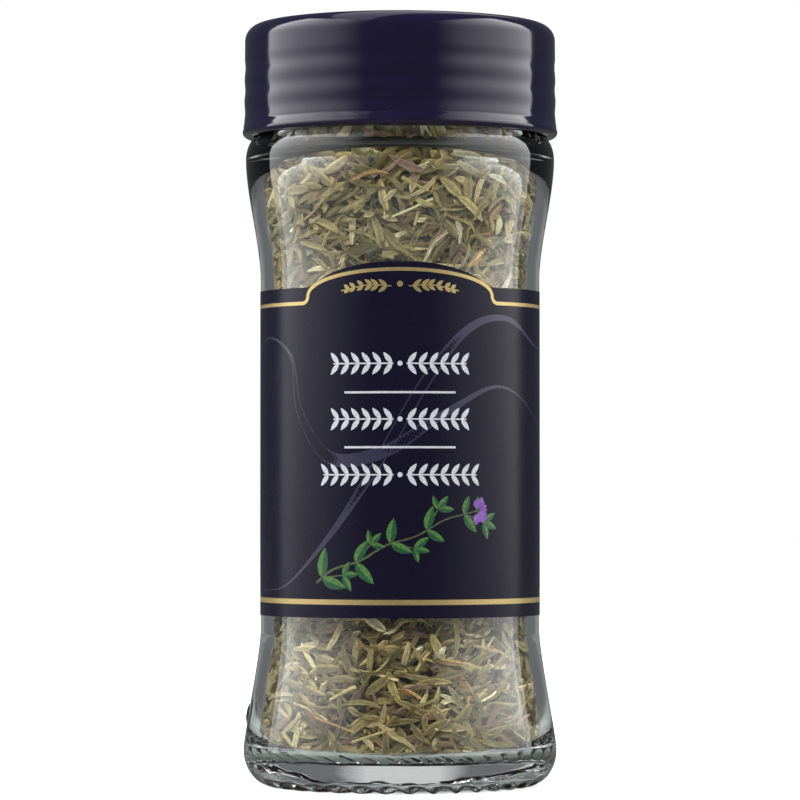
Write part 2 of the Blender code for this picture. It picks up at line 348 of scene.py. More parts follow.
def label_film(code):
    """Gravure-printed polypropylene film: flat dark ink, a satin lacquer, slight ripples where it is glued."""
    material = new_material("printed_film_navy")
    cloud = grain(material, 7.0, detail=2.0)
    ink = grain(material, 0.25, detail=1.0)
    base = mixed(material, ranged(material, ink.outputs["Fac"], 0.35, 0.65), code, "#141126")
    rough = ranged(material, cloud.outputs["Fac"], 0.3, 0.7, 0.24, 0.3)
    bump = relief(material, ink.outputs["Fac"], 0.0012)
    links = {"Base Color": base, "Roughness": rough, "Normal": bump.outputs[0]}
    finish_material(material, {"IOR": 1.5, "Specular IOR Level": 0.22}, links)
    return material


def gold_ink(code):
    """Hot-stamped gold foil: a warm metal, bright where a lamp is mirrored, with a brushed-out soft sparkle."""
    material = new_material("gold_foil")
    speck = grain(material, 0.3, detail=2.0)
    base = mixed(material, speck.outputs["Fac"], code, "#D6C38A")
    rough = ranged(material, speck.outputs["Fac"], 0.3, 0.7, 0.36, 0.46)
    finish_material(material, {"Metallic": 0.72}, {"Base Color": base, "Roughness": rough})
    return material


def flat_ink(name, first, second, size_mm=0.35, rough=0.38):
    """Screened printing ink: two near tones broken up by the print's dots, under the same satin lacquer."""
    material = new_material(name)
    dots = grain(material, size_mm, detail=1.0)
    base = mixed(material, ranged(material, dots.outputs["Fac"], 0.4, 0.6), first, second)
    finish_material(material, {"Roughness": rough}, {"Base Color": base})
    return material


def hatched_ink():
    """Fine engraved hatching in pale violet on the navy film: half line, half ground."""
    material = new_material("hatched_violet_ink")
    place = add_node(material, "ShaderNodeUVMap", uv_map="label_mm")
    hatch_pitch = 0.36
    lines = add_node(
        material,
        "ShaderNodeTexWave",
        {"Scale": math.pi / (10 * hatch_pitch) * 2, "Distortion": 0.0},
        {"Vector": place.outputs[0]},
        bands_direction="DIAGONAL",
    )
    base = mixed(material, ranged(material, lines.outputs["Fac"], 0.45, 0.85), "#110E20", "#4A4664")
    finish_material(material, {"Roughness": 0.3}, {"Base Color": base})
    return material


def dried_herb():
    """Air-dried thyme leaf: dull grey-olive, its sunken midrib darkened by painted shade, its rolled margins paler
    partly for their hairy underside and partly by painted highlight, fine down.
    """
    material = new_material("dried_thyme_leaf")
    tint = add_node(material, "ShaderNodeAttribute", attribute_name="tint")
    margin = add_node(material, "ShaderNodeAttribute", attribute_name="margin")
    mottle = grain(material, 0.45, detail=4.0, roughness=0.7)
    # Painted shade darkens the sunken midrib; the rolled margins are lightened partly for their paler hairy underside
    # and partly as painted highlight.
    midrib_shade_and_margin_highlight = ranged(material, margin.outputs["Fac"], 0.0, 0.85, 0.62, 1.25)
    blotch = ranged(material, mottle.outputs["Fac"], 0.3, 0.7, 0.6, 1.4)
    shade = add_node(
        material, "ShaderNodeMath", links={0: midrib_shade_and_margin_highlight, 1: blotch}, operation="MULTIPLY"
    )
    base = add_node(
        material,
        "ShaderNodeVectorMath",
        links={0: tint.outputs["Color"], "Scale": shade.outputs[0]},
        operation="SCALE",
    )
    bump = relief(material, mottle.outputs["Fac"], 0.14)
    links = {"Base Color": base.outputs[0], "Normal": bump.outputs[0]}
    finish_material(material, {"Roughness": 0.72, "Sheen Weight": 0.12, "Sheen Roughness": 0.5}, links)
    return material


def heap_painted_shade():
    """The heap's heart: dull and mottled, dark as painted shade for the gaps deep between the leaves."""
    material = new_material("thyme_heap_painted_shade")
    mottle = grain(material, 1.6, detail=5.0, roughness=0.7)
    # Painted shade: near-black olive-brown stands for the shade between the leaves deep in the heap.
    base = mixed(material, ranged(material, mottle.outputs["Fac"], 0.35, 0.65), "#1F1A11", "#4A4029")
    bump = relief(material, mottle.outputs["Fac"], 0.5)
    finish_material(material, {"Roughness": 0.9}, {"Base Color": base, "Normal": bump.outputs[0]})
    return material


# --- Mesh helpers ------------------------------------------------------------------------------------------


def arc(centre, radii, start, end, steps):
    """Points along an ellipse's arc, angles in degrees from the +radius direction."""
    points = []
    for step in range(steps + 1):
        angle = math.radians(start + (end - start) * step / steps)
        points.append((centre[0] + radii[0] * math.cos(angle), centre[1] + radii[1] * math.sin(angle)))
    return points


def upright_curve(low, high, low_handle, high_handle, steps):
    """A Bezier curve that leaves low and meets high straight up."""
    ends = [Vector(low), Vector((low[0], low[1] + low_handle))]
    ends += [Vector((high[0], high[1] - high_handle)), Vector(high)]
    points = []
    for step in range(steps + 1):
        t = step / steps
        weights = ((1 - t) ** 3, 3 * (1 - t) ** 2 * t, 3 * (1 - t) * t**2, t**3)
        points.append(tuple(sum((w * p for w, p in zip(weights, ends)), Vector((0.0, 0.0)))))
    return points


def straight(low, high, spacing):
    """Evenly spaced points from low up to, not including, high."""
    count = max(1, round(math.dist(low, high) / spacing))
    return [tuple(Vector(low).lerp(Vector(high), step / count)) for step in range(count)]


def turned(outline, closed=False, segments=SEGMENTS):
    """A bmesh turned about Z from (radius, height) points in mm, by one spun wedge repeated round the axis."""
    wedge = bmesh.new()
    verts = [wedge.verts.new((radius, 0.0, height)) for radius, height in outline]
    edges = [wedge.edges.new(pair) for pair in zip(verts, verts[1:])]
    if closed:
        edges.append(wedge.edges.new((verts[-1], verts[0])))
    bmesh.ops.spin(
        wedge,
        geom=verts + edges,
        cent=(0.0, 0.0, 0.0),
        axis=(0.0, 0.0, 1.0),
        angle=2 * math.pi / WEDGES,
        steps=segments // WEDGES,
    )
    mesh = bpy.data.meshes.new("wedge")
    wedge.to_mesh(mesh)
    wedge.free()
    bm = bmesh.new()
    for number in range(WEDGES):
        bm.from_mesh(mesh)
        bm.verts.ensure_lookup_table()
        new = bm.verts[number * len(mesh.vertices) :]
        turn = Matrix.Rotation(2 * math.pi * number / WEDGES, 3, "Z")
        bmesh.ops.rotate(bm, cent=(0.0, 0.0, 0.0), matrix=turn, verts=new)
    bpy.data.meshes.remove(mesh)
    bmesh.ops.remove_doubles(bm, verts=bm.verts, dist=0.0005)
    bmesh.ops.recalc_face_normals(bm, faces=bm.faces)
    return bm


def polar(vert):
    """A vertex's radius, angle from +X and height."""
    return math.hypot(vert.co.x, vert.co.y), math.atan2(vert.co.y, vert.co.x), vert.co.z


def set_radius(vert, radius):
    old = math.hypot(vert.co.x, vert.co.y)
    vert.co.x *= radius / old
    vert.co.y *= radius / old


def place_piece(name, bm, material, body, slot, *nodes, sharp=35):
    """Makes a finished piece from a bmesh in mm: smooth shading, finish and body, and hides the frame nodes it stands
    for; slot is not used.
    """
    bmesh.ops.scale(bm, vec=(MM, MM, MM), verts=bm.verts)
    mesh = bpy.data.meshes.new(name)
    bm.to_mesh(mesh)
    bm.free()
    mesh.shade_smooth()
    mesh.set_sharp_from_angle(angle=math.radians(sharp))
    for finish in material if isinstance(material, (list, tuple)) else (material,):
        mesh.materials.append(finish)
    piece = bpy.data.objects.new(name, mesh)
    bpy.context.scene.collection.objects.link(piece)
    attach(piece, body)
    if nodes:
        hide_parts(*nodes)
    return piece


def smooth_step(value):
    value = min(1.0, max(0.0, value))
    return value * value * (3 - 2 * value)


def thread_rise(angle, height, start):
    """The screw ridge's height, 0 to 1, at an angle and height, for a right-hand thread."""
    best = 0.0
    turn = (angle / (2 * math.pi)) % 1.0
    while turn <= TURNS:
        offset = abs(height - start - PITCH * turn)
        taper = min(1.0, turn / 0.1, (TURNS - turn) / 0.1)
        best = max(best, smooth_step((0.8 - offset) / 0.5) * max(0.0, taper))
        turn += 1.0
    return best


# --- Glass, cap, liner and sifter --------------------------------------------------------------------------


def glass_inner_outline(wall):
    """The inner wall from the floor's centre up to the bore."""
    corner = 3.0
    heel = HEEL_RADIUS - wall
    panel = PANEL_RADIUS - PANEL_WALL_SHARE * wall
    shoulder = SHOULDER_RADIUS - wall
    outline = [(0.0, FLOOR_HEIGHT + 0.5), (6.0, FLOOR_HEIGHT + 0.4), (12.0, FLOOR_HEIGHT + 0.1)]
    outline += arc((heel - corner, FLOOR_HEIGHT + corner), (corner, corner), -90, 0, 10)
    outline += upright_curve((heel, FLOOR_HEIGHT + corner + 0.4), (panel, 22.0), 2.0, 3.0, 12)
    outline += upright_curve((panel, 72.0), (shoulder - 0.1, 86.0), 5.0, 3.5, 14)
    outline += arc((BORE_RADIUS, 86.0), (shoulder - 0.1 - BORE_RADIUS, 4.6), 8, 84, 12)
    outline += [(BORE_RADIUS, 92.0)]
    return outline


def glass_outline(wall):
    foot_centre = (FOOT_INNER + FOOT_OUTER) / 2
    rings = 20
    outline = [(0.0, PUSH_UP)]
    for ring in range(1, rings):
        radius = (FOOT_INNER - 1.7) * ring / rings
        outline.append((radius, PUSH_UP - (PUSH_UP - 0.75) * (radius / FOOT_INNER) ** 2))
    outline += arc((FOOT_INNER, 0.75), (1.6, 0.75), 180, 270, 8)
    outline += straight((FOOT_INNER + 0.12, 0.0), (FOOT_OUTER, 0.0), 0.12)
    heel = HEEL_RADIUS + 0.0 - FOOT_OUTER
    outline += arc((FOOT_OUTER, HEEL_HEIGHT), (heel, HEEL_HEIGHT), -90, 0, 26)
    outline += upright_curve((HEEL_RADIUS, HEEL_HEIGHT), (PANEL_RADIUS, 22.0), 2.0, 3.0, 46)[1:]
    outline += upright_curve((PANEL_RADIUS, 72.0), (SHOULDER_RADIUS, SHOULDER_HEIGHT + 0.6), 5.0, 5.0, 24)
    outline += arc((NECK_RADIUS - 0.25, SHOULDER_HEIGHT + 0.6), (SHOULDER_RADIUS - NECK_RADIUS + 0.25, 3.9), 6, 84, 16)
    outline += straight((NECK_RADIUS, NECK_HEIGHT + 0.5), (NECK_RADIUS, RIM_HEIGHT - 0.6), 0.3)
    outline += arc((NECK_RADIUS - 0.6, RIM_HEIGHT - 0.6), (0.6, 0.6), 0, 90, 6)
    outline += arc((BORE_RADIUS + 0.6, RIM_HEIGHT - 0.6), (0.6, 0.6), 90, 180, 6)
    outline += reversed(glass_inner_outline(wall))
    return outline, foot_centre


def make_glass_jar(settings):
    outline, foot_centre = glass_outline(settings.wall)
    bm = turned(outline)
    lug_radius = 1.4
    for vert in bm.verts:
        radius, angle, height = polar(vert)
        if height < 2.4 and 15.0 < radius < 21.3:
            # Slanted ridges, deepest on the bearing ring and gone 3.6 mm to either side of it.
            reach = 1 - min(1.0, abs(radius - foot_centre) / 3.6)
            wave = 0.5 + 0.5 * math.cos(settings.knurls * angle + 0.9 * (radius - foot_centre))
            vert.co.z += settings.knurl_depth * smooth_step(reach * 1.8) * (1 - wave**0.7)
        elif radius > 18 and height < 5.5:
            # The heel's skin is a little uneven, which breaks up what is seen through the foot.
            set_radius(vert, radius + 0.035 * (noise.noise(vert.co / 2.3) - 0.8))
        elif radius < 16 and height < FLOOR_HEIGHT + 1.5:
            # Stippled underneath, and wavy where the blown floor chilled.
            under = height < 2
            grain_size = 0.9 if under else 3.5
            vert.co.z += (0.1 if under else 0.16) * noise.noise(vert.co / grain_size)
        elif radius > 20.5 and abs(height - settings.lug_height) < 2:
            side = (angle % (2 * math.pi) - math.pi) * radius
            away = math.hypot(side, height - settings.lug_height) / lug_radius
            if away < 1:
                set_radius(vert, radius + settings.lug_rise * math.sqrt(1 - away**2))
        elif height > NECK_HEIGHT + 1 and radius > NECK_RADIUS - 0.1:
            rise = thread_rise(angle, height, NECK_THREAD_START)
            bead = smooth_step(1 - abs(height - 94.6) / 0.9)
            set_radius(vert, radius + max(0.95 * rise, 0.75 * bead))
    return place_piece("jar_glass", bm, flint_glass(), "jar", "glass", "glass_jar", sharp=60)


def cap_wall_radius(height, ring_depth):
    """The cap's outer radius: a slight draft and three soft rings."""
    along = (height - CAP_LOW.z) / (CAP_HIGH.z - CAP_LOW.z)
    radius = 22.3 - 0.16 * along
    for ring in (95.9, 99.1, 102.3):
        radius -= ring_depth * 0.5 * (1 + math.cos(math.pi * min(1.0, abs(height - ring) / 1.55)))
    return radius


def make_screw_cap(settings):
    bottom, top = CAP_LOW.z, CAP_HIGH.z
    lip_radius = CAP_HIGH.x
    bore = 20.95
    roof = 107.1
    corner = 2.3
    outline = arc((bore + 0.3, bottom + 0.3), (0.3, 0.3), 180, 270, 4)
    outline += arc((lip_radius - 0.75, bottom + 0.75), (0.75, 0.75), -90, 30, 12)
    outline += [(22.34, 94.22)]
    outline += [(cap_wall_radius(94.3 + 0.2 * step, settings.ring_depth), 94.3 + 0.2 * step) for step in range(59)]
    wall = cap_wall_radius(top - corner, settings.ring_depth)
    outline += arc((wall - corner, top - corner), (corner, corner), 0, 90, 16)
    outline += [(8.0, top), (1.5, top), (1.3, top), (1.15, top - 0.08), (0.0, top - 0.08)]
    outline += [(0.0, roof), (8.0, roof)]
    outline += arc((bore - 0.6, roof - 0.6), (0.6, 0.6), 90, 0, 5)
    outline += straight((bore, 102.4), (bore, bottom + 1.0), 0.25)
    bm = turned(outline, closed=True)
    for vert in bm.verts:
        radius, angle, height = polar(vert)
        if abs(radius - bore) < 0.05 and bottom + 0.8 < height < 103:
            set_radius(vert, radius - 0.95 * thread_rise(angle, height, CAP_THREAD_START))
    return place_piece("cap_shell", bm, cap_plastic(settings.colour), "cap", "cap", "screw_cap", sharp=50)


def make_liner():
    radius = LINER_HIGH.x
    low, high = LINER_LOW.z, LINER_HIGH.z
    edge = 0.15
    outline = [(0.0, low)]
    outline += arc((radius - edge, low + edge), (edge, edge), -90, 0, 3)
    outline += arc((radius - edge, high - edge), (edge, edge), 0, 90, 3)
    outline += [(0.0, high)]
    return place_piece("liner_disc", turned(outline, segments=128), liner_foam(), "liner", "liner", "cap_liner")


def make_sifter():
    """The sifter: its flange on the rim, the plug skirt in the bore, and seven round holes."""
    under = RIM_HEIGHT + 0.3
    top = SIFTER_HIGH.z
    foot = SIFTER_LOW.z
    skirt = BORE_RADIUS - 0.3
    outline = [(0.0, under), (skirt - 1.0, under), (skirt - 1.0, foot + 0.1), (skirt - 0.9, foot)]
    outline += [(skirt - 0.4, foot), (skirt, foot + 0.7), (skirt, under)]
    outline += arc((SIFTER_HIGH.x - 0.2, under + 0.2), (0.2, 0.2), -90, 0, 3)
    outline += arc((SIFTER_HIGH.x - 0.2, top - 0.2), (0.2, 0.2), 0, 90, 3)
    outline += [(0.0, top)]
    bm = turned(outline, segments=128)
    sifter = place_piece("sifter", bm, sifter_plastic(), "jar", "insert", "shaker_insert")

    drills = bmesh.new()
    ring = [(8.5 * math.cos(turn * math.pi / 3), 8.5 * math.sin(turn * math.pi / 3)) for turn in range(6)]
    for x, y in [(0.0, 0.0)] + ring:
        place = Matrix.Translation((x, y, (under + top) / 2))
        bmesh.ops.create_cone(
            drills, cap_ends=True, segments=48, radius1=1.9, radius2=1.9, depth=3.0, matrix=place
        )
    bmesh.ops.scale(drills, vec=(MM, MM, MM), verts=drills.verts)
    mesh = bpy.data.meshes.new("hole_drills")
    drills.to_mesh(mesh)
    drills.free()
    cutter = bpy.data.objects.new("hole_drills", mesh)
    bpy.context.scene.collection.objects.link(cutter)
    cut = sifter.modifiers.new("holes", "BOOLEAN")
    cut.operation = "DIFFERENCE"
    cut.object = cutter
    bpy.context.view_layer.objects.active = sifter
    with bpy.context.temp_override(object=sifter, active_object=sifter):
        bpy.ops.object.modifier_apply(modifier=cut.name)
    bpy.data.objects.remove(cutter)
    return sifter


# --- Label -------------------------------------------------------------------------------------------------


def smooth_max(first, second, blend):
    """The larger of two values, rounded off where they cross."""
    gap = max(0.0, blend - abs(first - second)) / blend
    return max(first, second) + gap * gap * blend / 4


def label_top(side, half_width):
    """Height of the film's top edge, side mm round from the front: straight, with an arch at the front."""
    straight_top = 70.3
    centre = 67.2
    rise = LABEL_HIGH.z - centre
    if abs(side) >= half_width:
        return straight_top
    arch = centre + rise * math.sqrt(1 - (side / half_width) ** 2)
    return smooth_max(arch, straight_top, 0.9)


def film_radius(side):
    """The film's outer radius, side mm round from the front: its end overlaps its start down the back."""
    return LABEL_RADIUS + (OVERLAP_RISE if abs(side) > math.pi * LABEL_RADIUS - OVERLAP_WIDTH / 2 else 0.0)


def wrap(bm, radius):
    """Bends flat work round the jar: x runs round from the front, y stands out from the radius, z is height."""
    layer = bm.loops.layers.uv.new("label_mm")
    for face in bm.faces:
        for loop in face.loops:
            loop[layer].uv = (loop.vert.co.x, loop.vert.co.z)
    for vert in bm.verts:
        angle = vert.co.x / radius
        reach = film_radius(vert.co.x) + vert.co.y
        vert.co = (reach * math.sin(angle), -reach * math.cos(angle), vert.co.z)


def make_label_film(settings):
    """The film, right round the waist, with its overlap down the back."""
    inner = PANEL_RADIUS + 0.02
    outer = LABEL_RADIUS
    outline = [(inner, LABEL_LOW.z)]
    outline += straight((outer, LABEL_LOW.z), (outer, 70.0), 2.0)
    outline += [(outer, 70.0), (outer, 70.3), (inner, 70.3)]
    bm = turned(outline, closed=True, segments=480)
    for vert in bm.verts:
        radius, angle, height = polar(vert)
        side = math.atan2(vert.co.x, -vert.co.y) * outer
        if height > 70.2:
            vert.co.z = label_top(side, settings.hump_half_width)
        if radius > outer - 0.01:
            set_radius(vert, film_radius(side))
    layer = bm.loops.layers.uv.new("label_mm")
    for face in bm.faces:
        for loop in face.loops:
            side = math.atan2(loop.vert.co.x, -loop.vert.co.y) * outer
            loop[layer].uv = (side, loop.vert.co.z)
    return place_piece("label_film", bm, label_film(settings.film), "jar", "label", "wrap_label", sharp=30)


def resampled(points, spacing):
    """The same path with points at an even spacing."""
    path = [Vector(point) for point in points]
    lengths = [0.0]
    for before, after in zip(path, path[1:]):
        lengths.append(lengths[-1] + (after - before).length)
    count = max(2, round(lengths[-1] / spacing))
    even = []
    for step in range(count + 1):
        reach = min(lengths[-1] * step / count, lengths[-1] - 1e-9)
        at = bisect.bisect_right(lengths, reach) - 1
        share = (reach - lengths[at]) / (lengths[at + 1] - lengths[at])
        even.append(path[at].lerp(path[at + 1], share))
    return even


def rounded_path(points, spacing=0.4):
    """A Catmull-Rom curve through a few (side, height) points."""
    guide = [Vector(point) for point in points]
    guide = [2 * guide[0] - guide[1]] + guide + [2 * guide[-1] - guide[-2]]
    path = []
    for a, b, c, d in zip(guide, guide[1:], guide[2:], guide[3:]):
        for step in range(12):
            t = step / 12
            path.append(
                0.5 * (2 * b + (c - a) * t + (2 * a - 5 * b + 4 * c - d) * t * t + (3 * b - a - 3 * c + d) * t**3)
            )
    path.append(guide[-2])
    return resampled(path, spacing)


def add_strip(bm, path, width, thickness, proud, material_index=0):
    """A flat printed line along a path: width is a number or a function of 0 to 1 along it."""
    count = len(path) - 1
    made = bmesh.ops.create_grid(bm, x_segments=count, y_segments=1, size=0.5)
    strip = made["verts"]
    for vert in strip:
        along = vert.co.x + 0.5
        step = min(count, max(0, round(along * count)))
        ahead = path[min(count, step + 1)] - path[max(0, step - 1)]
        across = Vector((-ahead.y, ahead.x)).normalized()
        half = (width(along) if callable(width) else width) / 2
        spot = path[step] + across * half * (1 if vert.co.y > 0 else -1)
        vert.co = (spot.x, proud, spot.y)
    raise_ink(bm, strip, thickness, material_index)


def raise_ink(bm, verts, thickness, material_index=0):
    """Gives flat ink a thin closed body."""
    faces = list({face for vert in verts for face in vert.link_faces})
    for face in faces:
        face.material_index = material_index
        face.normal_update()
        if face.normal.y > 0:
            face.normal_flip()
    bmesh.ops.solidify(bm, geom=faces, thickness=-thickness)


def add_ink_leaf(bm, root, direction, length, width, thickness, proud, shades=(0, 0), bend=0.0):
    """A printed leaf: two halves, which may differ in shade, round a midrib from root along direction."""
    forward = Vector(direction).normalized()
    across = Vector((-forward.y, forward.x))
    for side in (1, -1):
        made = bmesh.ops.create_grid(bm, x_segments=10, y_segments=2, size=0.5)
        half = made["verts"]
        for vert in half:
            along = vert.co.x + 0.5
            out = vert.co.y + 0.5
            breadth = width / 2 * math.sin(math.pi * along**0.85) ** 0.8 + 0.01
            curve = bend * length * along * along
            spot = Vector(root) + forward * length * along + across * (side * out * breadth + curve)
            vert.co = (spot.x, proud, spot.y)
        raise_ink(bm, half, thickness, shades[0] if side > 0 else shades[1])


def ink_piece(name, bm, material):
    bmesh.ops.recalc_face_normals(bm, faces=bm.faces)
    wrap(bm, LABEL_RADIUS)
    bmesh.ops.recalc_face_normals(bm, faces=bm.faces)
    return place_piece(name, bm, material, "jar", "label", sharp=30)


def make_gold_lines(settings):
    """The upper gold line, which arches over the front, and the lower one, both right round the jar."""
    half_turn = math.pi * LABEL_RADIUS
    line = settings.line_height
    reach = settings.hump_half_width - 1.25
    fillet = 1.0
    crown = LABEL_HIGH.z - 1.15 - line - fillet
    points = [(-half_turn, line), (-reach - fillet, line)]
    points += arc((-reach - fillet, line + fillet), (fillet, fillet), -90, 0, 8)[1:]
    points += arc((0.0, line + fillet), (reach, crown), 180, 0, 80)[1:]
    points += arc((reach + fillet, line + fillet), (fillet, fillet), 180, 270, 8)[1:]
    points += [(half_turn, line)]
    bm = bmesh.new()
    add_strip(bm, resampled(points, 0.28), 0.5, 0.012, 0.004)
    lower = settings.lower_line_height
    add_strip(bm, resampled([(-half_turn, lower), (half_turn, lower)], 0.6), 0.72, 0.012, 0.004)
    return ink_piece("gold_lines", bm, gold_ink(settings.gold))


def make_gold_spray(settings):
    """A small laurel in the arch: a dot with pairs of leaves to each side."""
    bm = bmesh.new()
    centre = 70.6
    for side in (-1, 1):
        stem = rounded_path([(side * 1.2, centre - 0.3), (side * 4.5, centre - 0.15), (side * 8.4, centre - 0.9)], 0.3)
        add_strip(bm, stem, 0.16, 0.012, 0.004)
        for pair in range(6):
            spot = stem[int((pair + 0.7) / 6.6 * (len(stem) - 1))]
            size = 1.5 - 0.11 * pair
            for up in (-1, 1):
                add_ink_leaf(bm, spot, (side * 1.0, 0.75 * up), size, 0.52, 0.012, 0.005)
    made = bmesh.ops.create_circle(bm, cap_ends=True, segments=24, radius=0.42)
    for vert in made["verts"]:
        vert.co = (vert.co.x, 0.004, vert.co.y + centre)
    raise_ink(bm, made["verts"], 0.012)
    return ink_piece("gold_laurel", bm, gold_ink(settings.gold))


def make_white_print():
    """Two white rules, and three plain rows of small leaves where a jar carries its words."""
    bm = bmesh.new()
    for height in (55.6, 48.0):
        add_strip(bm, resampled([(-7.9, height), (7.9, height)], 0.5), 0.3, 0.012, 0.004)
    for height, half_width in ((59.6, 9.6), (51.9, 9.6), (44.2, 11.2)):
        for side in (-1, 1):
            path = resampled([(side * 0.9, height), (side * half_width, height)], 0.4)
            add_strip(bm, path, 0.2, 0.012, 0.004)
            leaves = round(half_width / 1.55)
            for number in range(leaves):
                root = (side * (1.1 + number * (half_width - 1.9) / (leaves - 1)), height)
                for up in (-1, 1):
                    add_ink_leaf(bm, root, (side * 0.62, up * 0.8), 1.95, 0.68, 0.012, 0.005)
        made = bmesh.ops.create_circle(bm, cap_ends=True, segments=20, radius=0.36)
        for vert in made["verts"]:
            vert.co = (vert.co.x, 0.004, vert.co.y + height)
        raise_ink(bm, made["verts"], 0.012)
    return ink_piece("white_print", bm, flat_ink("white_ink", "#C0C0C8", "#D0D0D8"))


def make_ribbons():
    """Two faint hatched ribbons that wave across the film behind the print."""
    bm = bmesh.new()
    routes = (
        [(-31, 60), (-24, 63.5), (-17.5, 61), (-15.5, 53), (-10, 46.5), (-2, 47.5), (6, 52.5), (15, 56.5), (24, 53), (33, 47)],
        [(-26, 27.9), (-18, 29), (-10, 36), (-3, 46), (3.5, 57), (10, 64.5), (17, 66), (25, 62.5), (34, 62)],
    )
    for number, route in enumerate(routes):
        path = rounded_path(route)
        swell = (lambda along: 0.15 + 1.7 * math.sin(math.pi * min(1.0, along * 1.1)) ** 3) if number == 0 else (
            lambda along: 0.12 + 1.5 * math.sin(math.pi * along) ** 2
        )
        add_strip(bm, path, swell, 0.006, 0.002 + 0.002 * number)
    return ink_piece("hatched_ribbons", bm, hatched_ink())


def make_sprig():
    """A printed sprig of thyme: one bent stem, pairs of leaves, side shoots and a violet flower head."""
    stem = rounded_path(
        [(-12.4, 29.2), (-9.6, 31.1), (-5.6, 32.3), (-1.8, 34.5), (2.2, 35.7), (6.2, 37.9), (9.6, 38.8), (11.3, 39.2)],
        0.3,
    )
    bm = bmesh.new()
    brown, dark, light, violet, lilac = range(5)
    add_strip(bm, stem, lambda along: 0.36 - 0.2 * along, 0.012, 0.006, brown)
    draw = random.Random(21)
    joints = (0.05, 0.27, 0.49, 0.7, 0.93)
    for number, share in enumerate(joints):
        at = int(share * (len(stem) - 1))
        ahead = (stem[min(at + 2, len(stem) - 1)] - stem[at - 2]).normalized()
        for up in (1, -1):
            spread = math.radians(draw.uniform(48, 74)) * up
            heading = Matrix.Rotation(spread, 2) @ ahead
            size = (4.1 - 0.3 * number) * draw.uniform(0.85, 1.1)
            add_ink_leaf(bm, stem[at], heading, size, 0.4 * size, 0.012, 0.01, (light, dark), -0.12 * up)
            if (number + (up > 0)) % 2 == 0:
                shoot_heading = Matrix.Rotation(math.radians(31) * up, 2) @ ahead
                shoot = [stem[at], stem[at] + shoot_heading * 1.6, stem[at] + shoot_heading * 3.3]
                add_strip(bm, resampled(shoot, 0.3), 0.16, 0.012, 0.008, brown)
                for fan in (-62, -8, 55):
                    tip = Matrix.Rotation(math.radians(fan + draw.uniform(-9, 9)), 2) @ shoot_heading
                    size = draw.uniform(2.0, 2.7)
                    add_ink_leaf(bm, shoot[-1], tip, size, 0.4 * size, 0.012, 0.012, (light, dark))
    head = stem[-1]
    for petal in range(11):
        heading = Matrix.Rotation(math.radians(-100 + 20 * petal), 2) @ Vector((1.0, 0.1))
        root = head + heading * 0.4
        size = draw.uniform(1.1, 1.7)
        add_ink_leaf(bm, root, heading, size, 0.62 * size, 0.012, 0.02, (violet, lilac))
    for fan in (70, -65):
        add_ink_leaf(bm, head, Matrix.Rotation(math.radians(fan), 2) @ Vector((1.0, 0.3)), 2.0, 0.75, 0.012, 0.016, (light, dark))
    inks = [
        flat_ink("stem_ink", "#4E4236", "#50663A"),
        flat_ink("dark_leaf_ink", "#1D4632", "#2A5834"),
        flat_ink("light_leaf_ink", "#3B6C36", "#587F3E"),
        flat_ink("violet_ink", "#6E3F96", "#8350AE"),
        flat_ink("lilac_ink", "#9A6BC0", "#8350AE"),
    ]
    return ink_piece("printed_sprig", bm, inks)


# --- Herb --------------------------------------------------------------------------------------------------

# How common each colour of dried leaf is, from fresh-dried green through straw to purple-brown.
LEAF_TINTS = (
    ("#96835A", 22),
    ("#86744B", 19),
    ("#AA956B", 17),
    ("#6B5B3A", 12),
    ("#C0A884", 9),
    ("#7B5D46", 8),
    ("#8A6C5F", 5),
    ("#E0D2B4", 6),
    ("#B48A58", 3),
)


def leaf_shape(length, width, roll, bend, twist, blunt, sway=0.0):
    """One dried leaf along X, face up: a thin closed blade, its margins rolled under, its midrib sunken."""
    bm = bmesh.new()
    margin = bm.verts.layers.float.new("margin")
    bm.verts.layers.float_color.new("tint")
    bmesh.ops.create_grid(bm, x_segments=6, y_segments=4, size=0.5)
    for vert in bm.verts:
        along, across = 2 * vert.co.x, 2 * vert.co.y
        vert[margin] = abs(across)
        half = width / 2 * max(0.1, 1 - abs(along + 0.12 * (1 - along * along)) ** blunt) ** 0.62
        turn = across * roll
        y = half * math.sin(turn) / roll
        arch = half * (math.cos(turn) - 1) / roll
        midrib = -0.3 * half * math.exp(-((across / 0.3) ** 2))
        spot = Vector((length * along / 2, y + sway * along * along, arch + midrib - bend * along * along))
        vert.co = Matrix.Rotation(twist * along, 3, "X") @ spot
    bmesh.ops.solidify(bm, geom=bm.faces[:], thickness=0.2)
    return finish_shape("leaf_shape", bm)


def stalk_shape(length, radius, bend):
    """A bit of dried stalk along X, a little bent."""
    bm = bmesh.new()
    margin = bm.verts.layers.float.new("margin")
    bm.verts.layers.float_color.new("tint")
    lie = Matrix.Rotation(math.radians(90), 4, "Y")
    bmesh.ops.create_cone(
        bm, cap_ends=True, segments=6, radius1=radius, radius2=0.75 * radius, depth=length, matrix=lie
    )
    long_edges = [edge for edge in bm.edges if abs(edge.verts[0].co.x - edge.verts[1].co.x) > length / 2]
    bmesh.ops.subdivide_edges(bm, edges=long_edges, cuts=3)
    for vert in bm.verts:
        vert[margin] = 0.7
        vert.co.z += bend * (2 * vert.co.x / length) ** 2
    return finish_shape("stalk_shape", bm)


def finish_shape(name, bm):
    bmesh.ops.recalc_face_normals(bm, faces=bm.faces)
    mesh = bpy.data.meshes.new(name)
    bm.to_mesh(mesh)
    bm.free()
    return mesh


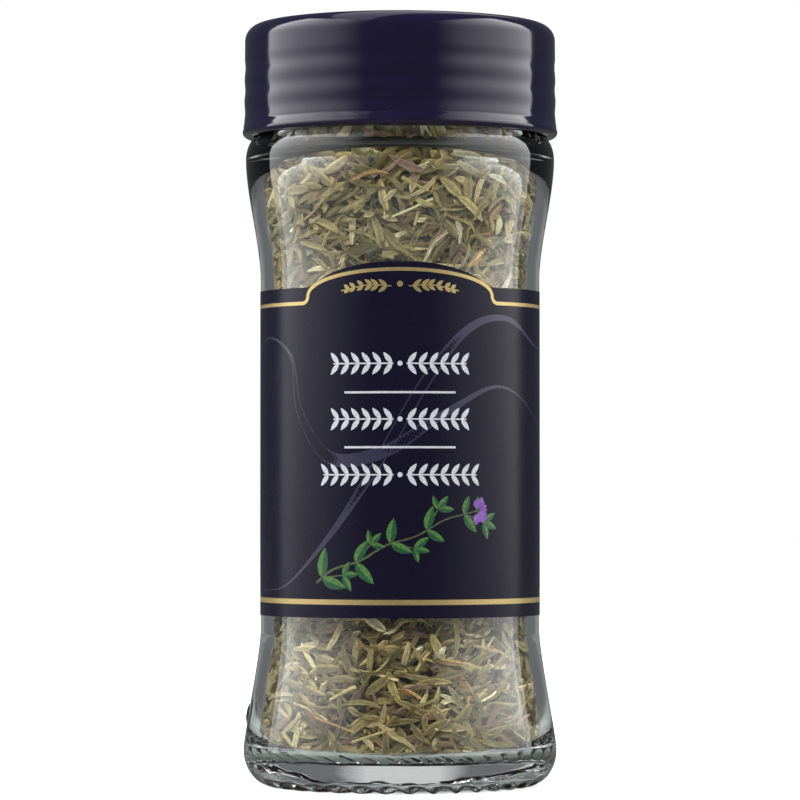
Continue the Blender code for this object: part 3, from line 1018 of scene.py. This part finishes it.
def herb_shapes(settings):
    """The kinds of bit that rubbed thyme is made of, each with how common it is."""
    length, width = settings.leaf_length, settings.leaf_width
    return (
        (leaf_shape(length, width, 1.1, 0.35, 0.1, 2.3, 0.35), 16),
        (leaf_shape(0.92 * length, 0.95 * width, 1.5, 0.45, 0.25, 2.1, -0.2), 16),
        (leaf_shape(1.1 * length, 0.88 * width, 1.7, 0.6, -0.3, 2.0, 0.6), 14),
        (leaf_shape(0.8 * length, 1.12 * width, 1.0, 0.25, -0.15, 2.5, 0.1), 12),
        (leaf_shape(0.66 * length, 0.85 * width, 1.5, 0.5, 0.4, 2.3, -0.3), 12),
        (leaf_shape(1.05 * length, 0.8 * width, 2.2, 0.9, 0.5, 1.9, -0.8), 10),
        (leaf_shape(0.45 * length, 0.8 * width, 1.3, -0.2, 0.5, 3.0), 10),
        (stalk_shape(1.2 * length, 0.2, 0.5), 4),
        (stalk_shape(0.8 * length, 0.3, 0.2), 2),
        (leaf_shape(0.3 * length, 0.55 * width, 0.9, 0.2, 0.9, 3.0), 10),
    )


def pick(draw, choices):
    return draw.choices([choice for choice, _ in choices], [weight for _, weight in choices])[0]


def leaf_tint(draw):
    """One bit's own colour: a tint from the list, a little lighter or darker."""
    light = draw.uniform(0.75, 1.4)
    red, green, blue, _ = colour(pick(draw, LEAF_TINTS))
    return (red * light, green * light, blue * light * draw.uniform(0.78, 0.96), 1.0)


class InnerWall:
    """The inner wall's radius by height, so that every bit of herb can be kept off the glass."""

    def __init__(self, wall):
        outline = [point for point in glass_inner_outline(wall) if point[0] > 6]
        outline += [(BORE_RADIUS, RIM_HEIGHT)]
        self.heights = [height for _, height in outline]
        self.radii = [radius for radius, _ in outline]

    def radius(self, height):
        if height <= self.heights[0]:
            return self.radii[0]
        at = min(bisect.bisect_right(self.heights, height), len(self.heights) - 1)
        rise = self.heights[at] - self.heights[at - 1]
        share = (height - self.heights[at - 1]) / rise if rise else 1.0
        return self.radii[at - 1] + min(1.0, share) * (self.radii[at] - self.radii[at - 1])


def add_bit(bm, shape, place, tint, wall, gap=0.07):
    """Copies one bit of herb into place, colours it, and presses what would touch the glass flat against it."""
    first = len(bm.verts)
    bm.from_mesh(shape)
    bm.verts.ensure_lookup_table()
    new = bm.verts[first:]
    layer = bm.verts.layers.float_color["tint"]
    bmesh.ops.transform(bm, matrix=place, verts=new)
    for vert in new:
        vert[layer] = tint
        vert.co.z = max(vert.co.z, FLOOR_HEIGHT + 0.62)
        radius = math.hypot(vert.co.x, vert.co.y)
        limit = wall.radius(vert.co.z) - gap
        if radius > limit:
            set_radius(vert, limit)


def against_wall(draw, angle, radius, height, lean, slope=0.0):
    """A place whose bit lies flat along the wall, face out, turned at random in the wall and tipped a little."""
    spin = draw.uniform(0, math.pi) if draw.random() < 0.45 else draw.gauss(math.pi / 2, 0.6)
    flat = Euler((draw.gauss(0, lean), draw.gauss(0, lean), spin + draw.choice((0, math.pi)))).to_matrix().to_4x4()
    if draw.random() < 0.2:
        flat = Matrix.Rotation(math.pi, 4, "X") @ flat
    face_out = Matrix.Rotation(math.radians(90) - slope, 4, "Y")
    turn = Matrix.Rotation(angle, 4, "Z")
    return Matrix.Translation((radius * math.cos(angle), radius * math.sin(angle), height)) @ turn @ face_out @ flat


def jittered_rows(draw, low, high, radius_at, spacing):
    """Angles and heights spread evenly but not regularly over a band of the wall."""
    spots = []
    height = low
    while height < high:
        around = 2 * math.pi * radius_at(height)
        count = max(1, round(around / spacing))
        for number in range(count):
            angle = 2 * math.pi * (number + draw.uniform(-0.5, 0.5)) / count
            spots.append((angle, height + draw.uniform(-0.5, 0.5) * spacing))
        height += spacing
    draw.shuffle(spots)
    return spots


HANDFUL = 32


def merged(name, meshes):
    """One mesh of many, which are used up."""
    bm = bmesh.new()
    for mesh in meshes:
        bm.from_mesh(mesh)
        bpy.data.meshes.remove(mesh)
    whole = bpy.data.meshes.new(name)
    bm.to_mesh(whole)
    bm.free()
    return whole


def gather(name, bits, wall, material, *nodes):
    """Makes one piece of many bits, in small handfuls because a bmesh slows as it grows."""
    handfuls = []
    for start in range(0, len(bits), HANDFUL):
        bm = bmesh.new()
        bm.verts.layers.float.new("margin")
        bm.verts.layers.float_color.new("tint")
        for shape, place, tint in bits[start : start + HANDFUL]:
            add_bit(bm, shape, place, tint, wall)
        mesh = bpy.data.meshes.new("handful")
        bm.to_mesh(mesh)
        bm.free()
        handfuls.append(mesh)
    while len(handfuls) > 12:
        handfuls = [merged("handful", handfuls[at : at + 6]) for at in range(0, len(handfuls), 6)]
    bm = bmesh.new()
    for mesh in handfuls:
        bm.from_mesh(mesh)
        bpy.data.meshes.remove(mesh)
    return place_piece(name, bm, material, "jar", "herb", *nodes, sharp=70)


def make_herb_heart(wall, material):
    """The heart of the heap, which closes the gaps between leaves, its dark colour painted shade: lumpy, and clear of
    the glass.
    """
    depth = 2.9
    outline = [(0.0, FLOOR_HEIGHT + 2.6), (12.0, FLOOR_HEIGHT + 2.6)]
    height = FLOOR_HEIGHT + 3.6
    while height < FILL_HIGH.z - 1.2:
        outline.append((wall.radius(height) - depth, height))
        height += 0.8
    outline.append((0.0, FILL_HIGH.z - 1.0))
    bm = turned(outline, segments=96)
    for vert in bm.verts:
        radius = math.hypot(vert.co.x, vert.co.y)
        if radius > 1:
            set_radius(vert, radius + 0.9 * noise.noise(vert.co * 0.55))
    return place_piece("herb_heart", bm, material, "jar", "herb", "thyme_fill", sharp=60)


def make_herb(settings, glass_wall):
    """All of the herb: the heart, leaves pressed to the glass, the floor layer and the loose top."""
    draw = random.Random(settings.seed)
    wall = InnerWall(glass_wall)
    shapes = herb_shapes(settings)
    leaf = dried_herb()
    make_herb_heart(wall, heap_painted_shade())

    floor = FLOOR_HEIGHT + 1.0
    bands = {
        "herb_lower": (floor, 27.5, settings.layers, 1.95),
        "herb_middle": (27.5, 67.0, 1, 2.3),
        "herb_upper": (67.0, 91.5, settings.layers, 1.95),
        "herb_neck": (91.5, FILL_HIGH.z, 2, 2.4),
    }
    for name, (low, high, layers, spacing) in bands.items():
        for layer in range(layers):
            depth = 0.3 + 0.7 * layer
            bits = []
            for angle, height in jittered_rows(draw, low, high, wall.radius, spacing):
                radius = wall.radius(height) - depth - draw.uniform(0, 0.35)
                rise = wall.radius(height + 1) - wall.radius(height - 1)
                place = against_wall(draw, angle, radius, height, 0.2 + 0.1 * layer, math.atan2(rise, 2.0))
                bits.append((pick(draw, shapes), place, leaf_tint(draw)))
            gather(f"{name}_{layer + 1}", bits, wall, leaf)

    bits = []
    for layer, height in enumerate((floor, floor + 0.6, floor + 1.2)):
        for number in range(190):
            radius = (wall.radius(height) - 1.5) * math.sqrt(draw.random())
            angle = draw.uniform(0, 2 * math.pi)
            spin = Euler((draw.gauss(0, 0.15), draw.gauss(0, 0.15), draw.uniform(0, 2 * math.pi)))
            place = Matrix.Translation((radius * math.cos(angle), radius * math.sin(angle), height))
            bits.append((pick(draw, shapes), place @ spin.to_matrix().to_4x4(), leaf_tint(draw)))
    for number in range(260):
        radius = (BORE_RADIUS - 1.6) * math.sqrt(draw.random())
        angle = draw.uniform(0, 2 * math.pi)
        spin = Euler((draw.gauss(0, 0.3), draw.gauss(0, 0.3), draw.uniform(0, 2 * math.pi)))
        place = Matrix.Translation((radius * math.cos(angle), radius * math.sin(angle), FILL_HIGH.z - 0.8))
        bits.append((pick(draw, shapes), place @ spin.to_matrix().to_4x4(), leaf_tint(draw)))
    gather("herb_floor_and_top", bits, wall, leaf)
    make_loose_bits(draw, shapes, wall, leaf)
    for shape, _ in shapes:
        bpy.data.meshes.remove(shape)


def make_loose_bits(draw, shapes, wall, leaf):
    """The loose leaves and stalks on top, one piece for each node of the frame, lying as that node lies."""
    for node in LOOSE_NODES:
        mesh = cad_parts[node].data
        low, high = node_box(node)
        centre = (low + high) / 2
        ends = max(mesh.vertices, key=lambda vert: (vert.co / MM - centre).length)
        along = (ends.co / MM - centre).normalized()
        lie = along.to_track_quat("X", "Z").to_matrix().to_4x4()
        reach = (ends.co / MM - centre).length * 2
        is_stalk = "stalk" in node
        shape = shapes[8][0] if is_stalk else shapes[draw.randrange(3)][0]
        size = reach / max(shape.vertices, key=lambda vert: vert.co.x).co.x / 2
        place = Matrix.Translation(centre) @ lie @ Matrix.Scale(size, 4)
        bm = bmesh.new()
        bm.verts.layers.float.new("margin")
        bm.verts.layers.float_color.new("tint")
        add_bit(bm, shape, place, leaf_tint(draw), wall)
        slot = "stalk" if is_stalk else "herb"
        place_piece("loose_" + node, bm, leaf, "jar", slot, node, sharp=70)


# --- Stage -------------------------------------------------------------------------------------------------


def make_floor(settings):
    """A wide pale floor, flat studio paper. To the jar its colour is painted shade: dark grey where the jar mirrors it
    and mid grey where it is seen through the glass.
    """
    material = new_material("studio_paper")
    fibre = grain(material, 3.0)
    path = add_node(material, "ShaderNodeLightPath")
    pale = mixed(material, fibre.outputs["Fac"], "#F3F3F2", "#FAFAF9")
    # Painted shade: the floor drops to dark grey in the jar's reflections and to mid grey through its glass; only the
    # eye sees it pale.
    through = mixed(material, path.outputs["Is Transmission Ray"], settings.floor_mirrored_painted_shade, settings.floor_through_painted_shade)
    base = add_node(material, "ShaderNodeMix", links={"Factor": path.outputs["Is Camera Ray"]}, data_type="RGBA")
    material.node_tree.links.new(through, base.inputs["A"])
    material.node_tree.links.new(pale, base.inputs["B"])
    values = {"Roughness": 0.9, "Specular IOR Level": 0.0}
    finish_material(material, values, {"Base Color": base.outputs["Result"]})
    bm = bmesh.new()
    bmesh.ops.create_grid(bm, x_segments=8, y_segments=8, size=3.0)
    mesh = bpy.data.meshes.new("studio_floor")
    bm.to_mesh(mesh)
    bm.free()
    mesh.materials.append(material)
    floor = bpy.data.objects.new("studio_floor", mesh)
    bpy.context.scene.collection.objects.link(floor)


def add_lamp(name, light, place, look_at):
    lamp = bpy.data.objects.new(name, light)
    lamp.location = place
    lamp.rotation_euler = (Vector(look_at) - Vector(place)).to_track_quat("-Z", "Y").to_euler()
    bpy.context.scene.collection.objects.link(lamp)
    return lamp


def add_panel_light(name, place, look_at, size, radiance, bright_edge=None):
    """A rectangular panel of the given radiance, soft at its side edges. Given a bright edge, 0 or 1 across
    its width, it dims towards the other one, and downwards."""
    light = bpy.data.lights.new(name, "AREA")
    light.shape = "RECTANGLE"
    light.size, light.size_y = size
    light.energy = radiance * math.pi * size[0] * size[1]
    light.use_nodes = True
    glow = light.node_tree.nodes["Emission"]
    where = add_node(light, "ShaderNodeNewGeometry")
    apart = add_node(light, "ShaderNodeSeparateXYZ", links={0: where.outputs["Parametric"]})
    if bright_edge is None:
        off_middle = add_node(light, "ShaderNodeMath", {1: 0.5}, {0: apart.outputs[0]}, operation="SUBTRACT")
        away = add_node(light, "ShaderNodeMath", links={0: off_middle.outputs[0]}, operation="ABSOLUTE")
        soft = ranged(light, away.outputs[0], 0.25, 0.5, 1.0, 0.0)
        light.node_tree.links.new(soft, glow.inputs["Strength"])
    else:
        across = ranged(light, apart.outputs[0], 1 - bright_edge, bright_edge)
        ramp = add_node(light, "ShaderNodeMath", {1: 2.0}, {0: across}, operation="POWER")
        upward = ranged(light, apart.outputs[1], 0.2, 0.6, 0.85, 3.6)
        both = add_node(light, "ShaderNodeMath", links={0: ramp.outputs[0], 1: upward}, operation="MULTIPLY")
        light.node_tree.links.new(both.outputs[0], glow.inputs["Strength"])
    return add_lamp(name, light, place, look_at)


def make_lights(settings):
    middle = 0.054
    for side in (-1, 1):
        place = (side * 0.5, -0.45, 0.3)
        look_at = (0.0, -0.45, 0.3)
        # The bright edge of each panel is the one behind the jar.
        add_panel_light(
            f"side_panel_{side}", place, look_at, (1.3, 1.0), settings.side_strength, (side + 1) // 2
        )
    key = add_panel_light("high_front_panel", (-0.15, -0.75, 0.75), (0, 0, middle), (0.35, 0.35), settings.key_strength)
    key.visible_glossy = False
    key.visible_transmission = False
    add_panel_light("top_panel", (-0.2, 0.1, 1.1), (0, 0, middle), (3.2, 0.5), 1.2)
    # What the thick foot gathers from behind the jar: a lit backdrop no wider than this.
    backdrop = add_panel_light("backdrop", (-0.01, 1.2, 0.1), (0, 0, 0.1), (0.75, 0.6), settings.backdrop)
    backdrop.visible_camera = False
    backdrop.visible_glossy = False

    # An even wash that falls on the floor alone keeps it plain out to the horizon.
    wash = bpy.data.lights.new("floor_wash", "SUN")
    wash.energy = settings.floor_wash
    wash.angle = math.radians(90)
    lamp = add_lamp("floor_wash", wash, (0.0, 0.0, 2.0), (0.0, 0.0, 0.0))
    floor_only = bpy.data.collections.new("floor_only")
    floor_only.objects.link(bpy.data.objects["studio_floor"])
    lamp.light_linking.receiver_collection = floor_only


def make_world():
    """White for the eye, dim grey for reflections and for what shows through the glass."""
    world = bpy.data.worlds.new("studio")
    bpy.context.scene.world = world
    world.use_nodes = True
    world.node_tree.nodes.clear()
    path = add_node(world, "ShaderNodeLightPath")
    seen = add_node(world, "ShaderNodeBackground", {"Color": colour("#FFFFFF"), "Strength": 1.0})
    dim = ranged(world, path.outputs["Is Transmission Ray"], 0.0, 1.0, 0.1, 0.17)
    felt = add_node(world, "ShaderNodeBackground", {"Color": colour("#F4FAFF")}, {"Strength": dim})
    both = add_node(
        world,
        "ShaderNodeMixShader",
        links={0: path.outputs["Is Camera Ray"], 1: felt.outputs[0], 2: seen.outputs[0]},
    )
    add_node(world, "ShaderNodeOutputWorld", links={"Surface": both.outputs[0]})


def make_camera(settings):
    camera = bpy.data.cameras.new("camera")
    camera.lens = settings.lens
    camera.sensor_width = 36.0
    camera.clip_start = 0.01
    eye = bpy.data.objects.new("camera", camera)
    eye.location = (0.0, -settings.camera_distance, settings.camera_height)
    eye.rotation_euler = (math.radians(90) + settings.camera_pitch, 0.0, 0.0)
    bpy.context.scene.collection.objects.link(eye)
    bpy.context.scene.camera = eye


# --- Operators, panel and registration ---------------------------------------------------------------------


class SPICEJAR_OT_glass(bpy.types.Operator):
    """Build the glass jar with its knurled foot, index lug and screw neck"""

    bl_idname = "spicejar.glass"
    bl_label = "Glass Jar"

    def execute(self, context):
        make_glass_jar(context.scene.spicejar_glass)
        return {"FINISHED"}


class SPICEJAR_OT_closure(bpy.types.Operator):
    """Build the screw cap, its liner and the sifter"""

    bl_idname = "spicejar.closure"
    bl_label = "Cap, Liner and Sifter"

    def execute(self, context):
        make_screw_cap(context.scene.spicejar_cap)
        make_liner()
        make_sifter()
        return {"FINISHED"}


class SPICEJAR_OT_label(bpy.types.Operator):
    """Build the film label and what is printed on it"""

    bl_idname = "spicejar.label"
    bl_label = "Label and Print"

    def execute(self, context):
        settings = context.scene.spicejar_label
        make_label_film(settings)
        make_ribbons()
        make_gold_lines(settings)
        make_gold_spray(settings)
        make_white_print()
        make_sprig()
        return {"FINISHED"}


class SPICEJAR_OT_herb(bpy.types.Operator):
    """Fill the jar with dried thyme"""

    bl_idname = "spicejar.herb"
    bl_label = "Dried Thyme"

    def execute(self, context):
        make_herb(context.scene.spicejar_herb, context.scene.spicejar_glass.wall)
        return {"FINISHED"}


class SPICEJAR_OT_stage(bpy.types.Operator):
    """Set out the floor, the lights, the world and the camera"""

    bl_idname = "spicejar.stage"
    bl_label = "Studio"

    def execute(self, context):
        make_floor(context.scene.spicejar_studio)
        make_lights(context.scene.spicejar_studio)
        make_world()
        make_camera(context.scene.spicejar_studio)
        context.scene.view_settings.view_transform = "Standard"
        return {"FINISHED"}


OPERATORS = (
    SPICEJAR_OT_stage,
    SPICEJAR_OT_glass,
    SPICEJAR_OT_closure,
    SPICEJAR_OT_label,
    SPICEJAR_OT_herb,
)


class SPICEJAR_PT_panel(bpy.types.Panel):
    """Lists the jar's pieces and their settings"""

    bl_idname = "SPICEJAR_PT_panel"
    bl_label = "Spice Jar"
    bl_space_type = "VIEW_3D"
    bl_region_type = "UI"
    bl_category = "Spice Jar"

    def draw(self, context):
        for operator in OPERATORS:
            self.layout.operator(operator.bl_idname)
        for name, group in GROUPS.items():
            box = self.layout.box()
            for setting in group.__annotations__:
                box.prop(getattr(context.scene, name), setting)


def register():
    for name, group in GROUPS.items():
        bpy.utils.register_class(group)
        setattr(bpy.types.Scene, name, bpy.props.PointerProperty(type=group))
    for operator in OPERATORS:
        bpy.utils.register_class(operator)
    bpy.utils.register_class(SPICEJAR_PT_panel)


def unregister():
    bpy.utils.unregister_class(SPICEJAR_PT_panel)
    for operator in reversed(OPERATORS):
        bpy.utils.unregister_class(operator)
    for name, group in GROUPS.items():
        delattr(bpy.types.Scene, name)
        bpy.utils.unregister_class(group)


def main():
    register()
    bpy.ops.spicejar.stage()
    bpy.ops.spicejar.glass()
    bpy.ops.spicejar.closure()
    bpy.ops.spicejar.label()
    bpy.ops.spicejar.herb()


if __name__ == "__main__":
    main()
